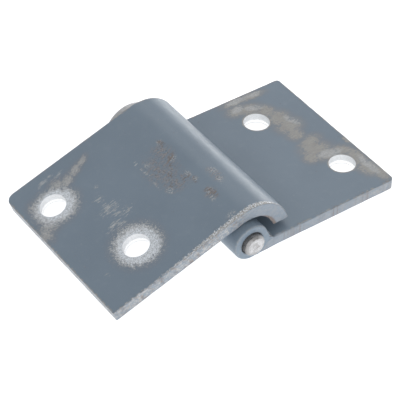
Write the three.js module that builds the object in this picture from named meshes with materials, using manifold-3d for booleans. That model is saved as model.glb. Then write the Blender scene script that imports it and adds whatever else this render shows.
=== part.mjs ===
// Bolt-on plate hinge with a curled cover lip, two welded knuckles and a headed pin.
//
// Frame: millimetres, +Z up. The origin is the centre of the frame leaf's flat
// underside. +X runs from the pin towards the frame leaf's outer edge, +Y runs along
// the pin from its plain end towards its head. The frame leaf lies flat; the door leaf
// hangs on the pin, tilted down by TILT.

import * as THREE from 'three';
import { mergeVertices } from 'three/addons/utils/BufferGeometryUtils.js';
import Module from 'manifold-3d';

// ---- driving dimensions (mm, degrees) ----
const PLATE_T = 6.35;            // both leaves are cut from the same plate
const TILT = 18.1;               // door leaf below the horizontal, as laid out

const FRAME_TOP = -2.82;         // frame leaf's top face, measured from the pin axis
const FRAME_X_OUT = 91.9;        // pin axis to the frame leaf's outer edge
const FRAME_Y = 50.7;            // half the frame leaf's width
const FRAME_X_IN = 11.0;         // straight inner edge beside the door knuckle
const FRAME_R_REAR = 2.0;        // plan radius of the outer rear corner
const FRAME_R_FRONT = 2.8;       // plan radius of the outer front corner
const FRAME_HOLES = [[60.3, 27.5], [77.1, -25.4]];
const MOUNT_X = 46.0;            // pin axis to the middle of the frame leaf

const DOOR_U_OUT = 78.6;         // pin axis to the door leaf's outer edge, along the leaf
const DOOR_TOP = 16.85;          // door leaf's top face above the pin axis
const DOOR_Y0 = -45.95;          // door leaf's front edge
const DOOR_Y1 = 56.35;           // door leaf's rear edge
const DOOR_R_REAR = 5.2;         // plan radius of the outer rear corner
const DOOR_R_FRONT = 0.8;        // plan radius of the outer front corner
const DOOR_HOLES = [[62.7, 33.2], [46.5, -20.3]];

const BEND_X = 3.25;             // centre of the curled lip, door frame
const BEND_Z = -4.94;
const BEND_R = DOOR_TOP - BEND_Z;
const LIP_END = -7.35;           // polar angle where the lip's outer face ends
const LIP_INNER = [[5.0, 9.95], [8.3, 8.75], [11.3, 6.8], [13.4, 4.3], [14.7, 1.6], [15.6, -1.6], [16.3, -5.15]];

const HOLE_R = 7.14;             // clearance hole for a 1/2 in bolt
const KNUCKLE_R = 10.2;          // outside of both knuckles
const PIN_R = 6.0;
const BORE_R = 6.1;              // running fit on the pin
const BORE_CHAMFER = 0.8;
const KNUCKLE_SPLIT = 2.9;       // where the two knuckles meet, along the pin
const KNUCKLE_GAP = 0.3;         // half the gap between the knuckles' ends
const PIN_Y0 = -54.0;            // plain end
const PIN_CHAMFER = 1.0;
const HEAD_Y0 = 56.9;            // head's bearing face
const HEAD_T = 4.4;
const HEAD_R = 15.2;
const HEAD_CHAMFER = 0.9;
const GAP = 0.3;                 // gap between pieces that are welded together
const WELD_R = 4.2;              // concave radius of the fillet between knuckle and leaf

const SEG = 72;                  // facets round a knuckle
const PIN_SEG = 48;
const HOLE_SEG = 40;

// ---- solids ----
const wasm = await Module();
wasm.setup();

function closed(geometry) {
  const g = geometry.index ? geometry.clone() : geometry.clone();
  for (const name of Object.keys(g.attributes)) if (name !== 'position') g.deleteAttribute(name);
  g.clearGroups();
  return mergeVertices(g, 1e-4);
}

function solid(geometry) {
  const g = closed(geometry);
  const make = () => new wasm.Manifold(new wasm.Mesh({
    numProp: 3,
    vertProperties: new Float32Array(g.attributes.position.array),
    triVerts: new Uint32Array(g.index.array),
  }));
  const p = g.attributes.position;
  const i = g.index.array;
  let volume = 0;
  const a = new THREE.Vector3(), b = new THREE.Vector3(), c = new THREE.Vector3();
  for (let k = 0; k < i.length; k += 3) {
    a.fromBufferAttribute(p, i[k]); b.fromBufferAttribute(p, i[k + 1]); c.fromBufferAttribute(p, i[k + 2]);
    volume += a.dot(b.clone().cross(c));
  }
  if (volume < 0) for (let k = 0; k < i.length; k += 3) { const t = i[k]; i[k] = i[k + 1]; i[k + 1] = t; }
  return make();
}

function geometryOf(manifold) {
  const m = manifold.getMesh();
  const g = new THREE.BufferGeometry();
  const n = m.numProp;
  const count = m.vertProperties.length / n;
  const pos = new Float32Array(count * 3);
  for (let k = 0; k < count; k++) for (let j = 0; j < 3; j++) pos[k * 3 + j] = m.vertProperties[k * n + j];
  g.setAttribute('position', new THREE.BufferAttribute(pos, 3));
  g.setIndex(new THREE.BufferAttribute(new Uint32Array(m.triVerts), 1));
  g.computeVertexNormals();
  return g;
}

// a section in the X-Z plane, run along Y
function alongY(points, y0, y1) {
  const shape = new THREE.Shape(points.map(([x, z]) => new THREE.Vector2(x, z)));
  const g = new THREE.ExtrudeGeometry(shape, { depth: y1 - y0, bevelEnabled: false, curveSegments: 1 });
  g.rotateX(Math.PI / 2);
  g.translate(0, y1, 0);
  return solid(g);
}

// a plan in the X-Y plane, run along Z
function alongZ(points, z0, z1) {
  const shape = new THREE.Shape(points.map(([x, y]) => new THREE.Vector2(x, y)));
  const g = new THREE.ExtrudeGeometry(shape, { depth: z1 - z0, bevelEnabled: false, curveSegments: 1 });
  g.translate(0, 0, z0);
  return solid(g);
}

function rodY(r, y0, y1, segments) {
  const g = new THREE.CylinderGeometry(r, r, y1 - y0, segments, 1, false);
  g.translate(0, (y0 + y1) / 2, 0);
  return solid(g);
}

function rodZ(r, x, y, z0, z1, segments) {
  const g = new THREE.CylinderGeometry(r, r, z1 - z0, segments, 1, false);
  g.rotateX(Math.PI / 2);
  g.translate(x, y, (z0 + z1) / 2);
  return solid(g);
}

// a section turned about the Y axis; the profile is a closed loop of [radius, y]
function turned(profile, segments) {
  const g = new THREE.LatheGeometry(profile.map(([r, y]) => new THREE.Vector2(r, y)), segments);
  return solid(g);
}

function arc(cx, cz, r, deg0, deg1, steps) {
  const out = [];
  for (let k = 0; k <= steps; k++) {
    const t = THREE.MathUtils.degToRad(deg0 + (deg1 - deg0) * k / steps);
    out.push([cx + r * Math.cos(t), cz + r * Math.sin(t)]);
  }
  return out;
}

// rectangle x0..x1, y0..y1 with rounded corners given as [x0y0, x1y0, x1y1, x0y1]
function roundedRect(x0, y0, x1, y1, radii) {
  const out = [];
  const corner = (cx, cy, r, from) => {
    if (r <= 0) out.push([cx, cy]);
    else out.push(...arc(cx, cy, r, from, from + 90, Math.max(4, Math.ceil(r * 3))));
  };
  corner(x0 + radii[0], y0 + radii[0], radii[0], 180);
  corner(x1 - radii[1], y0 + radii[1], radii[1], 270);
  corner(x1 - radii[2], y1 - radii[2], radii[2], 0);
  corner(x0 + radii[3], y1 - radii[3], radii[3], 90);
  return out;
}

const deg = THREE.MathUtils.radToDeg;
const FRAME_BOTTOM = FRAME_TOP - PLATE_T;
const DOOR_BOTTOM = DOOR_TOP - PLATE_T;
const CLEAR_R = KNUCKLE_R + GAP;

// ---- frame leaf: flat plate, coped round its own knuckle, notched beside the other ----
function frameLeaf() {
  let body = alongZ(roundedRect(2.0, -FRAME_Y, FRAME_X_OUT, FRAME_Y, [0, FRAME_R_FRONT, FRAME_R_REAR, 0]), FRAME_BOTTOM, FRAME_TOP);
  body = body.subtract(alongZ([[-5, KNUCKLE_SPLIT - 0.3], [FRAME_X_IN, KNUCKLE_SPLIT - 0.3], [FRAME_X_IN, FRAME_Y + 5], [-5, FRAME_Y + 5]], FRAME_BOTTOM - 1, FRAME_TOP + 1));
  body = body.subtract(rodY(CLEAR_R, -FRAME_Y - 2, KNUCKLE_SPLIT + 1, SEG));
  // weld groove along the lower inner edge
  body = body.subtract(alongY([[0, -5.8], [9.1, -5.8], [10.6, FRAME_BOTTOM - 1], [0, FRAME_BOTTOM - 1]], -FRAME_Y - 2, KNUCKLE_SPLIT + 1));
  for (const [x, y] of FRAME_HOLES) body = body.subtract(rodZ(HOLE_R, x, y, FRAME_BOTTOM - 1, FRAME_TOP + 1, HOLE_SEG));
  return body;
}

// ---- door leaf: the same plate, its inner end curled down over the knuckles ----
function doorLeaf() {
  const inner = new THREE.SplineCurve([[1.2, DOOR_BOTTOM], ...LIP_INNER].map(([x, z]) => new THREE.Vector2(x, z)));
  const section = [
    [-DOOR_U_OUT, DOOR_BOTTOM],
    ...inner.getPoints(28).map((v) => [v.x, Math.min(v.y, DOOR_BOTTOM)]),
    ...arc(BEND_X, BEND_Z, BEND_R, LIP_END, 90, 30),
    [-DOOR_U_OUT, DOOR_TOP],
  ];
  let body = alongY(section, DOOR_Y0, DOOR_Y1);
  const plan = alongZ(roundedRect(-DOOR_U_OUT, DOOR_Y0, BEND_X + BEND_R + 5, DOOR_Y1, [DOOR_R_FRONT, 0, 0, DOOR_R_REAR]), BEND_Z - 30, DOOR_TOP + 5);
  body = body.intersect(plan);
  for (const [u, y] of DOOR_HOLES) body = body.subtract(rodZ(HOLE_R, -u, y, DOOR_BOTTOM - 1, DOOR_TOP + 1, HOLE_SEG));
  return body;
}

// ---- knuckle: a short length of thick tube with chamfered bore mouths ----
function knuckle(y0, y1) {
  return turned([
    [BORE_R + BORE_CHAMFER, y0],
    [KNUCKLE_R, y0],
    [KNUCKLE_R, y1],
    [BORE_R + BORE_CHAMFER, y1],
    [BORE_R, y1 - BORE_CHAMFER],
    [BORE_R, y0 + BORE_CHAMFER],
    [BORE_R + BORE_CHAMFER, y0],
  ], SEG);
}

// ---- hinge pin: a plain shank with a flat round head ----
function hingePin() {
  return turned([
    [0, PIN_Y0],
    [PIN_R - PIN_CHAMFER, PIN_Y0],
    [PIN_R, PIN_Y0 + PIN_CHAMFER],
    [PIN_R, HEAD_Y0],
    [HEAD_R - HEAD_CHAMFER, HEAD_Y0],
    [HEAD_R, HEAD_Y0 + HEAD_CHAMFER],
    [HEAD_R, HEAD_Y0 + HEAD_T - HEAD_CHAMFER],
    [HEAD_R - HEAD_CHAMFER, HEAD_Y0 + HEAD_T],
    [0, HEAD_Y0 + HEAD_T],
  ], PIN_SEG);
}

// ---- weld beads ----
// concave fillet in the valley between the frame knuckle and the frame leaf's top
function frameFillet() {
  const cz = FRAME_TOP + WELD_R;
  const cx = Math.sqrt((KNUCKLE_R + WELD_R) ** 2 - cz ** 2);
  const onKnuckle = deg(Math.atan2(cz, cx));
  const face = arc(cx, cz, WELD_R, 180 + onKnuckle, 270, 10)
    .filter(([x, z]) => Math.hypot(x, z) > CLEAR_R + 0.02 && z > FRAME_TOP + GAP + 0.02);
  const z0 = FRAME_TOP + GAP;
  const last = face[face.length - 1];
  const first = face[0];
  const a0 = deg(Math.asin(z0 / CLEAR_R));
  const a1 = deg(Math.atan2(first[1], first[0]));
  return alongY([[last[0] + 0.5, z0], ...face.slice().reverse(), ...arc(0, 0, CLEAR_R, a1, a0, 6)], -FRAME_Y, KNUCKLE_SPLIT - 0.6);
}

// groove weld along the frame knuckle's lower side
function frameGroove() {
  const top = -6.25;
  const a0 = deg(Math.asin(top / CLEAR_R));
  const a1 = deg(Math.atan2(-Math.sqrt(CLEAR_R ** 2 - 3.6 ** 2), 3.6));
  const side = (z) => 9.1 + (z + 5.8) * (1.5 / (FRAME_BOTTOM - 1 + 5.8)) - GAP - 0.02;
  return alongY([...arc(0, 0, CLEAR_R, a1, a0, 8), [side(top), top], [side(FRAME_BOTTOM - 0.35), FRAME_BOTTOM - 0.35], [6.4, FRAME_BOTTOM - 0.62]], -FRAME_Y, KNUCKLE_SPLIT - 0.6);
}

// bead between the door knuckle and the flat of the door leaf
function doorFlatBead() {
  const z0 = DOOR_BOTTOM - GAP;
  const a0 = 180 - deg(Math.asin(z0 / CLEAR_R)) + 2;
  return alongY([[-9.8, z0], [-9.3, 8.9], [-8.5, 7.6], ...arc(0, 0, CLEAR_R, 136, a0, 8)], KNUCKLE_SPLIT + 1.1, DOOR_Y1 - 1.2);
}

// bead between the door knuckle and the inside of the lip
function doorLipBead() {
  return alongY([...arc(0, 0, CLEAR_R, 69, 36, 8), [9.35, 7.5], [8.05, 8.42], [6.6, 9.05], [5.0, 9.55]], KNUCKLE_SPLIT + 1.1, DOOR_Y1 - 1.2);
}

// ---- materials ----
const paint = { color: 0x74828c, roughness: 0.5, metalness: 0.25 };
const paintDark = { color: 0x6d7b85, roughness: 0.5, metalness: 0.25 };
const steel = { color: 0xc4c4c0, roughness: 0.3, metalness: 0.95 };

function mesh(name, manifold, material) {
  const m = new THREE.Mesh(geometryOf(manifold), new THREE.MeshStandardMaterial({ ...material, flatShading: true }));
  m.name = name;
  return m;
}

// ---- assembly ----
const hinge = new THREE.Group();

const axis = new THREE.Group();          // everything below is placed from the pin axis
axis.position.set(-MOUNT_X, 0, -FRAME_BOTTOM);
hinge.add(axis);

axis.add(mesh('frame_leaf', frameLeaf(), paint));
axis.add(mesh('frame_knuckle', knuckle(-FRAME_Y, KNUCKLE_SPLIT - KNUCKLE_GAP), paint));
axis.add(mesh('frame_fillet_weld', frameFillet(), paint));
axis.add(mesh('frame_groove_weld', frameGroove(), paint));
axis.add(mesh('hinge_pin', hingePin(), steel));

const door = new THREE.Group();
door.rotation.y = -THREE.MathUtils.degToRad(TILT);
axis.add(door);

door.add(mesh('door_leaf', doorLeaf(), paintDark));
door.add(mesh('door_knuckle', knuckle(KNUCKLE_SPLIT + KNUCKLE_GAP, DOOR_Y1 - 0.1), paintDark));
door.add(mesh('door_flat_weld', doorFlatBead(), paintDark));
door.add(mesh('door_lip_weld', doorLipBead(), paintDark));

export default hinge;
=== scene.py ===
import math
import bpy
import bmesh
import numpy as np
from mathutils import Matrix, Vector, noise
from mathutils.geometry import delaunay_2d_cdt


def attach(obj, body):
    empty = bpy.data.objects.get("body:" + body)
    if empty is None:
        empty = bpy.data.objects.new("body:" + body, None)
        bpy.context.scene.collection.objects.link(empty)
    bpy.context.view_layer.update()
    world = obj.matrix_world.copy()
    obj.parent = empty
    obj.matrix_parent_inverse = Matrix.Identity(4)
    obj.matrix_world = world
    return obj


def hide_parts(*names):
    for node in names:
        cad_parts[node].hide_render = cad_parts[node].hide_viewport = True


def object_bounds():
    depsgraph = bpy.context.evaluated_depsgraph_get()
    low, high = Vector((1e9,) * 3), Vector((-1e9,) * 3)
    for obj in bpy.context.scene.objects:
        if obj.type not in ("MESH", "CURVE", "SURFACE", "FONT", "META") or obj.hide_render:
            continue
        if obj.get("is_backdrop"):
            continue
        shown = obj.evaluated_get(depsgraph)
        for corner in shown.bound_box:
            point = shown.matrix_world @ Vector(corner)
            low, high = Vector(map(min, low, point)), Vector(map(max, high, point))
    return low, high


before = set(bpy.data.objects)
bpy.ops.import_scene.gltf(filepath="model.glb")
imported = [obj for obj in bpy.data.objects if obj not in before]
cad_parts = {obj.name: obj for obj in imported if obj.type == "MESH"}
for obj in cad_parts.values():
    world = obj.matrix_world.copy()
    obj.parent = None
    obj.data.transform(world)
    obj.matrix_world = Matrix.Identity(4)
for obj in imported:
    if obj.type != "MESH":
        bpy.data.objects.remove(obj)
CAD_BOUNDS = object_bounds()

# ------------------------------------------------------------------ dimensions
# millimetres, measured from the pin axis; the same numbers as the CAD source
AXIS = np.array([-46.0, 0.0, 9.17])
TILT = math.radians(18.1)
CT, ST = math.cos(TILT), math.sin(TILT)

T = 6.35
FRAME_TOP = -2.82
FRAME_X_OUT, FRAME_Y = 91.9, 50.7
FRAME_HOLES = [(60.3, 27.5), (77.1, -25.4)]
DOOR_U, DOOR_TOP = 78.6, 16.85
DOOR_BOTTOM = DOOR_TOP - T
DOOR_Y0, DOOR_Y1 = -45.95, 56.35
DOOR_HOLES = [(-62.7, 33.2), (-46.5, -20.3)]
BEND_C = np.array([3.25, -4.94])
BEND_R = DOOR_TOP + 4.94
LIP_END = math.radians(-7.35)
LIP_INNER = [(1.2, DOOR_BOTTOM), (5.0, 9.95), (8.3, 8.75), (11.3, 6.8), (13.4, 4.3), (14.7, 1.6), (15.6, -1.6), (16.3, -5.15)]
HOLE_R, KNUCKLE_R, PIN_R, BORE_R = 7.14, 10.2, 6.0, 6.1
SPLIT = 2.9
PIN_Y0, HEAD_Y0, HEAD_T, HEAD_R = -54.0, 56.9, 4.4, 15.2


def from_frame(p):
    """pin-axis millimetres to row-frame metres"""
    return (np.asarray(p, float) + AXIS) / 1000.0


def from_door(p):
    """millimetres in the door leaf's own frame to row-frame metres"""
    p = np.asarray(p, float)
    q = np.stack([p[..., 0] * CT - p[..., 2] * ST, p[..., 1], p[..., 0] * ST + p[..., 2] * CT], -1)
    return (q + AXIS) / 1000.0


def turn_door(n):
    n = np.asarray(n, float)
    return np.stack([n[..., 0] * CT - n[..., 2] * ST, n[..., 1], n[..., 0] * ST + n[..., 2] * CT], -1)


def wob(x, y, z, f):
    """smooth seeded noise in -1..1"""
    return noise.noise(Vector((x * f + 11.3, y * f - 7.1, z * f + 3.7)))


# ------------------------------------------------------------------ mesh making
def make_object(name, verts, faces, normals, flat=None):
    """a closed smooth-shaded mesh whose vertex normals are known; flat gives some faces one normal each"""
    bm = bmesh.new()
    vs = [bm.verts.new(v) for v in verts]
    bm.verts.ensure_lookup_table()
    for f in faces:
        try:
            bm.faces.new([vs[i] for i in f])
        except ValueError:
            pass
    bmesh.ops.recalc_face_normals(bm, faces=bm.faces)
    for f in bm.faces:
        f.smooth = True
    mesh = bpy.data.meshes.new(name)
    bm.to_mesh(mesh)
    bm.free()
    if flat:
        loops = [tuple(normals[l.vertex_index]) for l in mesh.loops]
        for k, n in flat.items():
            for i in mesh.polygons[k].loop_indices:
                loops[i] = tuple(n)
        mesh.normals_split_custom_set(loops)
    else:
        mesh.normals_split_custom_set_from_vertices([tuple(n) for n in normals])
    obj = bpy.data.objects.new(name, mesh)
    bpy.context.scene.collection.objects.link(obj)
    return obj


def rounded_loop(corners, radii, grid_x=None, step=1.0):
    """points and outward normals round a counter-clockwise polygon with rounded corners.
    Along edges that run in x the points sit on the grid, so opposite edges match."""
    n = len(corners)
    C = [np.array(c, float) for c in corners]
    pts, nor = [], []
    ends = []
    for i in range(n):
        a, b, c = C[i - 1], C[i], C[(i + 1) % n]
        d0, d1 = (b - a) / np.linalg.norm(b - a), (c - b) / np.linalg.norm(c - b)
        cross = d0[0] * d1[1] - d0[1] * d1[0]
        r = radii[i]
        n0, n1 = np.array([d0[1], -d0[0]]), np.array([d1[1], -d1[0]])
        if r <= 0:
            m = n0 + n1
            m = m / max(1e-9, m @ n0)
            ends.append(([b], [m]))
            continue
        half = math.acos(max(-1, min(1, d0 @ d1))) / 2
        back = r * math.tan(half)
        sign = 1 if cross > 0 else -1
        centre = b - d0 * back - n0 * r * sign
        k = max(5, int(r * 5))
        a0 = math.atan2(n0[1] * sign, n0[0] * sign)
        sweep = 2 * half * sign
        ps, ns = [], []
        for j in range(k + 1):
            t = a0 + sweep * j / k
            v = np.array([math.cos(t), math.sin(t)])
            ps.append(centre + v * r)
            ns.append(v * sign)
        ends.append((ps, ns))
    for i in range(n):
        ps, ns = ends[i]
        pts += ps
        nor += ns
        a, b = ps[-1], ends[(i + 1) % n][0][0]
        d = b - a
        length = np.linalg.norm(d)
        d = d / length
        out = np.array([d[1], -d[0]])
        if grid_x is not None and abs(d[1]) < 1e-6:
            lo, hi = min(a[0], b[0]), max(a[0], b[0])
            xs = [x for x in grid_x if lo + 0.15 < x < hi - 0.15]
            if d[0] < 0:
                xs = xs[::-1]
            mids = [np.array([x, a[1]]) for x in xs]
        else:
            m = max(1, int(length / step))
            mids = [a + d * length * j / m for j in range(1, m)]
        pts += mids
        nor += [out] * len(mids)
    return np.array(pts), np.array(nor)


def hole_loop(cx, cy, r, count=72):
    t = np.linspace(0, 2 * math.pi, count, endpoint=False)
    v = np.stack([np.cos(t), np.sin(t)], 1)
    return np.array([cx, cy]) + v * r, -v


def rim_rings(rt, rb, thick, seed, ragged, slope=None):
    """(inset, depth, out, up) for each ring from the top face round the edge to the bottom face"""
    rings = []
    k = 4
    for j in range(k + 1):
        a = math.pi / 2 * j / k
        rings.append((rt * (1 - math.sin(a)), rt * (1 - math.cos(a)), math.sin(a), math.cos(a)))
    for j in (1, 2, 3, 4):
        d = rt + (thick - rt - rb) * j / 5
        rings.append((0.0, d, 1.0, 0.0))
    for j in range(k + 1):
        a = math.pi / 2 * (1 - j / k)
        rings.append((rb * (1 - math.sin(a)), thick - rb * (1 - math.cos(a)), math.sin(a), -math.cos(a)))
    out = []
    for inset, depth, o, u in rings:
        inside = depth / thick
        if slope:
            inset += slope[0] + (slope[1] - slope[0]) * inside
        # a cut edge is never quite straight: the noise fades towards the flat faces
        body = min(1.0, depth / max(rt, 0.05)) * min(1.0, (thick - depth) / max(rb, 0.05))
        inset += ragged * body * (1.5 + wob(seed, depth, 0, 0.45) + 0.5 * wob(seed, depth, 5, 1.3))
        out.append((inset, depth, o, u))
    return out


def inside(pt, loop):
    x, y = pt
    c = False
    n = len(loop)
    j = n - 1
    for i in range(n):
        xi, yi = loop[i]
        xj, yj = loop[j]
        if (yi > y) != (yj > y) and x < (xj - xi) * (y - yi) / (yj - yi) + xi:
            c = not c
        j = i
    return c


def plate(name, outer, holes, place, lines=(), rt=0.45, rb=0.45, ragged=0.05, hole_r=0.2, vary=0.18, special=None):
    """a plate with rounded edges. outer and holes are (points, outward normals) in the plate's
    own flat coordinates; place(s, y, depth) gives the point, the out direction and the up direction."""
    verts, normals, faces, flats = [], [], [], []
    loops = []
    for which, (pts, nor) in enumerate([outer] + holes):
        n = len(pts)
        ids = []
        run = 0.0
        for i in range(n):
            run += float(np.linalg.norm(pts[i] - pts[i - 1])) if i else 0.0
            p, m = pts[i], nor[i]
            if which == 0:
                r1 = max(0.12, rt + vary * wob(run, 0, 1.0, 0.16) + 0.5 * vary * wob(run, 3, 2.0, 0.6))
                r2 = max(0.12, rb + vary * wob(run, 9, 4.0, 0.16))
                rag, slope = ragged, None
                if special:
                    r1, r2, rag, slope = special(p, r1, r2, rag)
            else:
                r1 = hole_r + 0.06 * wob(run, which, 1.0, 0.2)
                r2 = hole_r * 0.7
                rag, slope = 0.02, None
            unit = m / np.linalg.norm(m)
            col = []
            for inset, depth, o, u in rim_rings(r1, r2, T, run + 100 * which, rag, slope):
                q = p - m * inset
                pos, ax_s, up = place(q[0], q[1], depth)
                nrm = o * (ax_s * unit[0] + np.array([0, unit[1], 0])) + up * abs(u)
                col.append(len(verts))
                verts.append(pos)
                flats.append((float(q[0]), float(q[1])))
                normals.append(nrm / np.linalg.norm(nrm))
            ids.append(col)
        rings = len(ids[0])
        for i in range(n):
            a, b = ids[i], ids[(i + 1) % n]
            for k in range(rings - 1):
                faces.append((a[k], b[k], b[k + 1], a[k + 1]))
        loops.append((pts, ids))
    for ring in (0, -1):
        flat, gid, edges, polys = [], [], [], []
        for pts, ids in loops:
            start, m = len(flat), len(pts)
            for i in range(m):
                gid.append(ids[i][ring])
                flat.append(flats[ids[i][ring]])
            edges += [(start + i, start + (i + 1) % m) for i in range(m)]
            polys.append(flat[start:])
        n0 = len(loops[0][0])
        for s in lines:
            hits = [k for k in range(n0) if abs(flat[k][0] - s) < 1e-5]
            if len(hits) == 2:
                edges.append((hits[0], hits[1]))
        out_v, _, out_f, orig, _, _ = delaunay_2d_cdt([Vector(f) for f in flat], edges, [], 0, 1e-6)
        back = [gid[o[0]] if len(o) else None for o in orig]
        for f in out_f:
            c = (out_v[f[0]] + out_v[f[1]] + out_v[f[2]]) / 3
            if not inside(c, polys[0]) or any(inside(c, h) for h in polys[1:]):
                continue
            tri = [back[k] for k in f]
            if None not in tri and len(set(tri)) == 3:
                faces.append(tuple(tri))
    return make_object(name, verts, faces, normals)


def lathe(name, profile, segments, place, spin=None):
    """profile is a list of (radius, y, out, along) where out and along give the normal; a radius of 0
    closes the end. spin(angle, k, radius, y) may move a ring's point and returns (radius, y)."""
    verts, normals, faces, rows = [], [], [], []
    for k, (r, y, no, na) in enumerate(profile):
        if r < 1e-9:
            rows.append([len(verts)])
            verts.append(place(np.array([0.0, y, 0.0])))
            normals.append((0, na, 0))
            continue
        row = []
        for j in range(segments):
            a = 2 * math.pi * j / segments
            rr, yy = spin(a, k, r, y) if spin else (r, y)
            row.append(len(verts))
            verts.append(place(np.array([rr * math.cos(a), yy, rr * math.sin(a)])))
            n = np.array([no * math.cos(a), na, no * math.sin(a)])
            normals.append(n / np.linalg.norm(n))
        rows.append(row)
    closed = profile[0][0] > 1e-9
    count = len(rows)
    for k in range(count if closed else count - 1):
        a, b = rows[k], rows[(k + 1) % count]
        for j in range(segments):
            j2 = (j + 1) % segments
            if len(a) == 1:
                faces.append((a[0], b[j2], b[j]))
            elif len(b) == 1:
                faces.append((a[j], a[j2], b[0]))
            else:
                faces.append((a[j], a[j2], b[j2], b[j]))
    return make_object(name, verts, faces, normals)


def round_corner(c0, c1, r, turn0, turn1, steps=4):
    """arc points (radius, y, out, along) centred at (c0, c1) from normal angle turn0 to turn1"""
    out = []
    for k in range(steps + 1):
        t = turn0 + (turn1 - turn0) * k / steps
        out.append((c0 + r * math.cos(t), c1 + r * math.sin(t), math.cos(t), math.sin(t)))
    return out


def bead(name, section, y0, y1, place, turn, pitch=1.7, height=0.12, bow=1.1, step=0.28, taper=2.0, seed=0.0):
    """a weld bead: section(t) for t in 0..1 gives the exposed face's point (x, z) and its normal, and
    section.core is a point inside the joint. Overlapping ripples run across the face."""
    n = max(12, int((y1 - y0) / step))
    m = 12
    verts, normals, faces, rows = [], [], [], []
    for i in range(n + 1):
        y = y0 + (y1 - y0) * i / n
        end = min(1.0, (y - y0) / taper, (y1 - y) / taper) if taper > 0 else 1.0
        size = math.sqrt(max(0.0, 1 - (1 - end) ** 2)) if taper > 0 else 1.0
        size = 0.12 + 0.88 * size
        row = []
        for j in range(m + 1):
            t = j / m
            p, nr = section(t)
            u = 2 * t - 1
            phase = (y + bow * u * u) / pitch + 0.35 * wob(y, 0, seed, 0.2)
            saw = phase - math.floor(phase)
            ripple = height * (1 - u * u) * (0.5 - abs(saw - 0.35) / 0.65 if saw > 0.35 else saw / 0.35 - 0.5)
            swell = 0.10 * (1 - u * u) * wob(y, 4, seed, 0.12)
            q = section.core + (p - section.core) * size + nr * (ripple + swell) * size
            row.append(len(verts))
            verts.append(place(np.array([q[0], y, q[1]])))
            nv = turn(np.array([nr[0], 0.0, nr[1]]))
            normals.append(nv)
        row.append(len(verts))
        verts.append(place(np.array([section.core[0], y, section.core[1]])))
        c = section(0.5)[1]
        normals.append(turn(np.array([-c[0], 0.0, -c[1]])))
        rows.append(row)
    k = m + 2
    for i in range(n):
        for j in range(k):
            j2 = (j + 1) % k
            faces.append((rows[i][j], rows[i][j2], rows[i + 1][j2], rows[i + 1][j]))
    faces.append(tuple(reversed(rows[0])))
    faces.append(tuple(rows[-1]))
    caps = {len(faces) - 2: (0.0, -1.0, 0.0), len(faces) - 1: (0.0, 1.0, 0.0)}
    return make_object(name, verts, faces, normals, caps)


def turned_profile(points, radii, closed, steps=4, longest=30.0):
    """(radius, y, out, along) round a profile whose outside is on the right of its direction"""
    P = [np.array(p, float) for p in points]
    n = len(P)
    out = []
    for i in range(n):
        b = P[i]
        if not closed and i in (0, n - 1):
            d = (P[1] - P[0]) if i == 0 else (P[-1] - P[-2])
            d = d / np.linalg.norm(d)
            out.append((b[0], b[1], d[1], -d[0]))
            continue
        a, c = P[i - 1], P[(i + 1) % n]
        d0, d1 = (b - a) / np.linalg.norm(b - a), (c - b) / np.linalg.norm(c - b)
        n0 = np.array([d0[1], -d0[0]])
        half = math.acos(max(-1, min(1, d0 @ d1))) / 2
        sign = 1 if d0[0] * d1[1] - d0[1] * d1[0] > 0 else -1
        r = radii[i]
        centre = b - d0 * r * math.tan(half) - n0 * r * sign
        a0 = math.atan2(n0[1] * sign, n0[0] * sign)
        for k in range(steps + 1):
            t = a0 + 2 * half * sign * k / steps
            v = np.array([math.cos(t), math.sin(t)])
            q = centre + v * r
            out.append((q[0], q[1], v[0] * sign, v[1] * sign))
    full = []
    m = len(out)
    for i in range(m if closed else m - 1):
        p, q = out[i], out[(i + 1) % m]
        full.append(p)
        d = math.hypot(q[0] - p[0], q[1] - p[1])
        k = int(d // longest)
        for j in range(1, k + 1):
            f = j / (k + 1)
            full.append((p[0] + (q[0] - p[0]) * f, p[1] + (q[1] - p[1]) * f, p[2], p[3]))
    if not closed:
        full.append(out[-1])
    return full


# ------------------------------------------------------------------ frame side
def place_frame(x, y, depth):
    up = np.array([0, 0, 1.0 if depth < T / 2 else -1.0])
    return from_frame([x, y, FRAME_TOP - depth]), np.array([1.0, 0, 0]), up


def place_frame_leaf(x, y, depth):
    # the inner edge runs down at a slant inside the knuckle's wall
    if x < 8.6 and y < 2.75:
        x = x - 3.4 * depth / T * min(1.0, max(0.0, (8.6 - x) / 1.6))
    return place_frame(x, y, depth)


def frame_special(p, r1, r2, rag):
    if p[0] < 12.5:
        k = max(0.0, (p[0] - 9.0) / 3.5)
        return max(0.12, r1 * k), max(0.12, r2 * k), rag * k, None
    if p[1] < -FRAME_Y + 0.1:
        k = min(1.0, (p[0] - 12.5) / 3.0)
        r1 = r1 + k * (0.30 + 0.55 * max(0.0, 1 - (p[0] - 14.0) / 34.0))
        r2 = r2 + 0.25 * k
    return r1, r2, rag, None


def door_special(p, r1, r2, rag):
    if p[1] < DOOR_Y0 + 0.1 and p[0] < S_END - 2.0:
        return r1 + 0.30, r2 + 0.1, rag * 1.6, None
    return r1, r2, rag, None


frame_outer = rounded_loop(
    [(7.0, -FRAME_Y + 0.02), (FRAME_X_OUT, -FRAME_Y + 0.02), (FRAME_X_OUT, FRAME_Y), (11.0, FRAME_Y), (11.0, SPLIT - 0.3), (7.0, SPLIT - 0.3)],
    [0, 2.8, 2.0, 0.6, 0, 0], step=1.1)
frame_leaf = plate("frame_leaf_plate", frame_outer, [hole_loop(x, y, HOLE_R) for x, y in FRAME_HOLES], place_frame_leaf, rt=0.5, rb=0.45, special=frame_special)

CONTACT0, CONTACT1 = math.radians(-66), math.radians(7)


def knuckle_profile(y0, y1):
    return turned_profile([(BORE_R, y0), (KNUCKLE_R, y0), (KNUCKLE_R, y1), (BORE_R, y1)], [0.8, 1.2, 0.5, 0.8], True, steps=6)


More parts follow.
